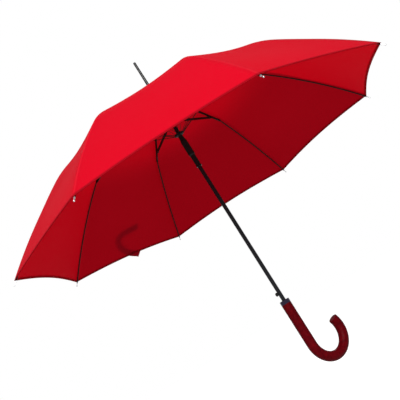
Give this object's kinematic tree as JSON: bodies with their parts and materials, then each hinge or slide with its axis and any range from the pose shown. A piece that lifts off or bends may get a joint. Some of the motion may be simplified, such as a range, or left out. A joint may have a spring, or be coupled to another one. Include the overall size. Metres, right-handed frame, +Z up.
{
  "type": "stick umbrella",
  "caption": "Open stick umbrella with a gored red fabric canopy on a folding metal frame, a slim black shaft with a release button, a long ferrule and a red crook handle.",
  "frame": {"origin": "on the shaft axis in the middle of the straight grip, where the hand holds it", "axes": "+Z up the shaft towards the ferrule, +X along rib 1, right-handed"},
  "size_m": [1.0476, 1.0476, 0.8966],
  "materials": {
    "canopy_fabric": "matte",
    "rib_tips": "polished",
    "grip": "satin",
    "ferrule_metal": "gloss",
    "collar_metal": "gloss",
    "shaft_metal": "gloss",
    "black_plastic": "satin",
    "wire_steel": "satin",
    "frame_steel": "satin"
  },
  "bodies": {
    "root": {"shaft_tube": "shaft_metal", "ferrule": "ferrule_metal", "crown_cap": "black_plastic", "top_notch": "black_plastic", "notch_wire": "wire_steel", "handle_crook": "grip", "handle_collar": "collar_metal"},
    "button": {"release_button": "black_plastic"},
    "runner": {"runner_sleeve": "black_plastic"},
    "boss": {"stretcher_boss": "black_plastic", "boss_wire": "wire_steel"},
    "rib_1": {"rib_channel_1": "frame_steel", "canopy_1": "canopy_fabric"},
    "rod_1": {"rib_rod_1": "frame_steel", "rib_tip_1": "rib_tips"},
    "strut_1": {"stretcher_1": "frame_steel"},
    "wire_1": {"link_1": "frame_steel"},
    "rib_2": {"rib_channel_2": "frame_steel", "canopy_2": "canopy_fabric"},
    "rod_2": {"rib_rod_2": "frame_steel", "rib_tip_2": "rib_tips"},
    "strut_2": {"stretcher_2": "frame_steel"},
    "wire_2": {"link_2": "frame_steel"},
    "rib_3": {"rib_channel_3": "frame_steel", "canopy_3": "canopy_fabric"},
    "rod_3": {"rib_rod_3": "frame_steel", "rib_tip_3": "rib_tips"},
    "strut_3": {"stretcher_3": "frame_steel"},
    "wire_3": {"link_3": "frame_steel"},
    "rib_4": {"rib_channel_4": "frame_steel", "canopy_4": "canopy_fabric"},
    "rod_4": {"rib_rod_4": "frame_steel", "rib_tip_4": "rib_tips", "tie_strap": "canopy_fabric"},
    "strut_4": {"stretcher_4": "frame_steel"},
    "wire_4": {"link_4": "frame_steel"},
    "rib_5": {"rib_channel_5": "frame_steel", "canopy_5": "canopy_fabric"},
    "rod_5": {"rib_rod_5": "frame_steel", "rib_tip_5": "rib_tips"},
    "strut_5": {"stretcher_5": "frame_steel"},
    "wire_5": {"link_5": "frame_steel"},
    "rib_6": {"rib_channel_6": "frame_steel", "canopy_6": "canopy_fabric"},
    "rod_6": {"rib_rod_6": "frame_steel", "rib_tip_6": "rib_tips"},
    "strut_6": {"stretcher_6": "frame_steel"},
    "wire_6": {"link_6": "frame_steel"},
    "rib_7": {"rib_channel_7": "frame_steel", "canopy_7": "canopy_fabric"},
    "rod_7": {"rib_rod_7": "frame_steel", "rib_tip_7": "rib_tips"},
    "strut_7": {"stretcher_7": "frame_steel"},
    "wire_7": {"link_7": "frame_steel"},
    "rib_8": {"rib_channel_8": "frame_steel", "canopy_8": "canopy_fabric"},
    "rod_8": {"rib_rod_8": "frame_steel", "rib_tip_8": "rib_tips"},
    "strut_8": {"stretcher_8": "frame_steel"},
    "wire_8": {"link_8": "frame_steel"}
  },
  "joints": [
    {"name": "runner_slide", "type": "slide", "parent": "root", "child": "runner", "axis": [0, 0, 1], "range_m": [-0.3405, 0], "stiffness_N_per_m": 120, "springref_m": 0.15},
    {"name": "button_press", "type": "slide", "parent": "root", "child": "button", "axis": [0.4462, 0.8949, 0], "range_m": [0, 0.0028], "stiffness_N_per_m": 600, "springref_m": -0.002},
    {"name": "boss_slide", "type": "slide", "parent": "root", "child": "boss", "axis": [0, 0, 1], "range_m": [-0.373, 0]},
    {"name": "rib_fold_1", "type": "hinge", "parent": "root", "child": "rib_1", "pos_m": [0.009, 0, 0.679], "axis": [0, 1, 0], "range_deg": [0, 69.13], "deforming": ["canopy_1"]},
    {"name": "rod_fold_1", "type": "hinge", "parent": "rib_1", "child": "rod_1", "pos_m": [0.286, 0, 0.6], "axis": [0, 1, 0], "range_deg": [-19.67, 0]},
    {"name": "stretcher_fold_1", "type": "hinge", "parent": "boss", "child": "strut_1", "pos_m": [0.009, 0, 0.5915], "axis": [0, 1, 0], "range_deg": [-81.81, 0]},
    {"name": "link_fold_1", "type": "hinge", "parent": "runner", "child": "wire_1", "pos_m": [0.012, 0, 0.55], "axis": [0, 1, 0], "range_deg": [-59.98, 0]},
    {"name": "rib_fold_2", "type": "hinge", "parent": "root", "child": "rib_2", "pos_m": [0.00636, 0.00636, 0.679], "axis": [-0.7071, 0.7071, 0], "range_deg": [0, 69.13], "deforming": ["canopy_2"]},
    {"name": "rod_fold_2", "type": "hinge", "parent": "rib_2", "child": "rod_2", "pos_m": [0.20223, 0.20223, 0.6], "axis": [-0.7071, 0.7071, 0], "range_deg": [-19.67, 0]},
    {"name": "stretcher_fold_2", "type": "hinge", "parent": "boss", "child": "strut_2", "pos_m": [0.00636, 0.00636, 0.5915], "axis": [-0.7071, 0.7071, 0], "range_deg": [-81.81, 0]},
    {"name": "link_fold_2", "type": "hinge", "parent": "runner", "child": "wire_2", "pos_m": [0.00848, 0.00848, 0.55], "axis": [-0.7071, 0.7071, 0], "range_deg": [-59.98, 0]},
    {"name": "rib_fold_3", "type": "hinge", "parent": "root", "child": "rib_3", "pos_m": [0, 0.009, 0.679], "axis": [-1, 0, 0], "range_deg": [0, 69.13], "deforming": ["canopy_3"]},
    {"name": "rod_fold_3", "type": "hinge", "parent": "rib_3", "child": "rod_3", "pos_m": [0, 0.286, 0.6], "axis": [-1, 0, 0], "range_deg": [-19.67, 0]},
    {"name": "stretcher_fold_3", "type": "hinge", "parent": "boss", "child": "strut_3", "pos_m": [0, 0.009, 0.5915], "axis": [-1, 0, 0], "range_deg": [-81.81, 0]},
    {"name": "link_fold_3", "type": "hinge", "parent": "runner", "child": "wire_3", "pos_m": [0, 0.012, 0.55], "axis": [-1, 0, 0], "range_deg": [-59.98, 0]},
    {"name": "rib_fold_4", "type": "hinge", "parent": "root", "child": "rib_4", "pos_m": [-0.00636, 0.00636, 0.679], "axis": [-0.7071, -0.7071, 0], "range_deg": [0, 69.13], "deforming": ["canopy_4"]},
    {"name": "rod_fold_4", "type": "hinge", "parent": "rib_4", "child": "rod_4", "pos_m": [-0.20223, 0.20223, 0.6], "axis": [-0.7071, -0.7071, 0], "range_deg": [-19.67, 0], "deforming": ["tie_strap"]},
    {"name": "stretcher_fold_4", "type": "hinge", "parent": "boss", "child": "strut_4", "pos_m": [-0.00636, 0.00636, 0.5915], "axis": [-0.7071, -0.7071, 0], "range_deg": [-81.81, 0]},
    {"name": "link_fold_4", "type": "hinge", "parent": "runner", "child": "wire_4", "pos_m": [-0.00848, 0.00848, 0.55], "axis": [-0.7071, -0.7071, 0], "range_deg": [-59.98, 0]},
    {"name": "rib_fold_5", "type": "hinge", "parent": "root", "child": "rib_5", "pos_m": [-0.009, 0, 0.679], "axis": [0, -1, 0], "range_deg": [0, 69.13], "deforming": ["canopy_5"]},
    {"name": "rod_fold_5", "type": "hinge", "parent": "rib_5", "child": "rod_5", "pos_m": [-0.286, 0, 0.6], "axis": [0, -1, 0], "range_deg": [-19.67, 0]},
    {"name": "stretcher_fold_5", "type": "hinge", "parent": "boss", "child": "strut_5", "pos_m": [-0.009, 0, 0.5915], "axis": [0, -1, 0], "range_deg": [-81.81, 0]},
    {"name": "link_fold_5", "type": "hinge", "parent": "runner", "child": "wire_5", "pos_m": [-0.012, 0, 0.55], "axis": [0, -1, 0], "range_deg": [-59.98, 0]},
    {"name": "rib_fold_6", "type": "hinge", "parent": "root", "child": "rib_6", "pos_m": [-0.00636, -0.00636, 0.679], "axis": [0.7071, -0.7071, 0], "range_deg": [0, 69.13], "deforming": ["canopy_6"]},
    {"name": "rod_fold_6", "type": "hinge", "parent": "rib_6", "child": "rod_6", "pos_m": [-0.20223, -0.20223, 0.6], "axis": [0.7071, -0.7071, 0], "range_deg": [-19.67, 0]},
    {"name": "stretcher_fold_6", "type": "hinge", "parent": "boss", "child": "strut_6", "pos_m": [-0.00636, -0.00636, 0.5915], "axis": [0.7071, -0.7071, 0], "range_deg": [-81.81, 0]},
    {"name": "link_fold_6", "type": "hinge", "parent": "runner", "child": "wire_6", "pos_m": [-0.00848, -0.00848, 0.55], "axis": [0.7071, -0.7071, 0], "range_deg": [-59.98, 0]},
    {"name": "rib_fold_7", "type": "hinge", "parent": "root", "child": "rib_7", "pos_m": [0, -0.009, 0.679], "axis": [1, 0, 0], "range_deg": [0, 69.13], "deforming": ["canopy_7"]},
    {"name": "rod_fold_7", "type": "hinge", "parent": "rib_7", "child": "rod_7", "pos_m": [0, -0.286, 0.6], "axis": [1, 0, 0], "range_deg": [-19.67, 0]},
    {"name": "stretcher_fold_7", "type": "hinge", "parent": "boss", "child": "strut_7", "pos_m": [0, -0.009, 0.5915], "axis": [1, 0, 0], "range_deg": [-81.81, 0]},
    {"name": "link_fold_7", "type": "hinge", "parent": "runner", "child": "wire_7", "pos_m": [0, -0.012, 0.55], "axis": [1, 0, 0], "range_deg": [-59.98, 0]},
    {"name": "rib_fold_8", "type": "hinge", "parent": "root", "child": "rib_8", "pos_m": [0.00636, -0.00636, 0.679], "axis": [0.7071, 0.7071, 0], "range_deg": [0, 69.13], "deforming": ["canopy_8"]},
    {"name": "rod_fold_8", "type": "hinge", "parent": "rib_8", "child": "rod_8", "pos_m": [0.20223, -0.20223, 0.6], "axis": [0.7071, 0.7071, 0], "range_deg": [-19.67, 0]},
    {"name": "stretcher_fold_8", "type": "hinge", "parent": "boss", "child": "strut_8", "pos_m": [0.00636, -0.00636, 0.5915], "axis": [0.7071, 0.7071, 0], "range_deg": [-81.81, 0]},
    {"name": "link_fold_8", "type": "hinge", "parent": "runner", "child": "wire_8", "pos_m": [0.00848, -0.00848, 0.55], "axis": [0.7071, 0.7071, 0], "range_deg": [-59.98, 0]}
  ],
  "couplings": [
    {"joint": "boss_slide", "follows": "runner_slide", "ratio": 1.095},
    {"joint": "rib_fold_1", "follows": "runner_slide", "rad_per_m": -3.541},
    {"joint": "rod_fold_1", "follows": "runner_slide", "rad_per_m": 1.0055},
    {"joint": "stretcher_fold_1", "follows": "runner_slide", "rad_per_m": 4.1906},
    {"joint": "link_fold_1", "follows": "runner_slide", "rad_per_m": 3.0721},
    {"joint": "rib_fold_2", "follows": "runner_slide", "rad_per_m": -3.541},
    {"joint": "rod_fold_2", "follows": "runner_slide", "rad_per_m": 1.0055},
    {"joint": "stretcher_fold_2", "follows": "runner_slide", "rad_per_m": 4.1906},
    {"joint": "link_fold_2", "follows": "runner_slide", "rad_per_m": 3.0721},
    {"joint": "rib_fold_3", "follows": "runner_slide", "rad_per_m": -3.541},
    {"joint": "rod_fold_3", "follows": "runner_slide", "rad_per_m": 1.0055},
    {"joint": "stretcher_fold_3", "follows": "runner_slide", "rad_per_m": 4.1906},
    {"joint": "link_fold_3", "follows": "runner_slide", "rad_per_m": 3.0721},
    {"joint": "rib_fold_4", "follows": "runner_slide", "rad_per_m": -3.541},
    {"joint": "rod_fold_4", "follows": "runner_slide", "rad_per_m": 1.0055},
    {"joint": "stretcher_fold_4", "follows": "runner_slide", "rad_per_m": 4.1906},
    {"joint": "link_fold_4", "follows": "runner_slide", "rad_per_m": 3.0721},
    {"joint": "rib_fold_5", "follows": "runner_slide", "rad_per_m": -3.541},
    {"joint": "rod_fold_5", "follows": "runner_slide", "rad_per_m": 1.0055},
    {"joint": "stretcher_fold_5", "follows": "runner_slide", "rad_per_m": 4.1906},
    {"joint": "link_fold_5", "follows": "runner_slide", "rad_per_m": 3.0721},
    {"joint": "rib_fold_6", "follows": "runner_slide", "rad_per_m": -3.541},
    {"joint": "rod_fold_6", "follows": "runner_slide", "rad_per_m": 1.0055},
    {"joint": "stretcher_fold_6", "follows": "runner_slide", "rad_per_m": 4.1906},
    {"joint": "link_fold_6", "follows": "runner_slide", "rad_per_m": 3.0721},
    {"joint": "rib_fold_7", "follows": "runner_slide", "rad_per_m": -3.541},
    {"joint": "rod_fold_7", "follows": "runner_slide", "rad_per_m": 1.0055},
    {"joint": "stretcher_fold_7", "follows": "runner_slide", "rad_per_m": 4.1906},
    {"joint": "link_fold_7", "follows": "runner_slide", "rad_per_m": 3.0721},
    {"joint": "rib_fold_8", "follows": "runner_slide", "rad_per_m": -3.541},
    {"joint": "rod_fold_8", "follows": "runner_slide", "rad_per_m": 1.0055},
    {"joint": "stretcher_fold_8", "follows": "runner_slide", "rad_per_m": 4.1906},
    {"joint": "link_fold_8", "follows": "runner_slide", "rad_per_m": 3.0721}
  ]
}
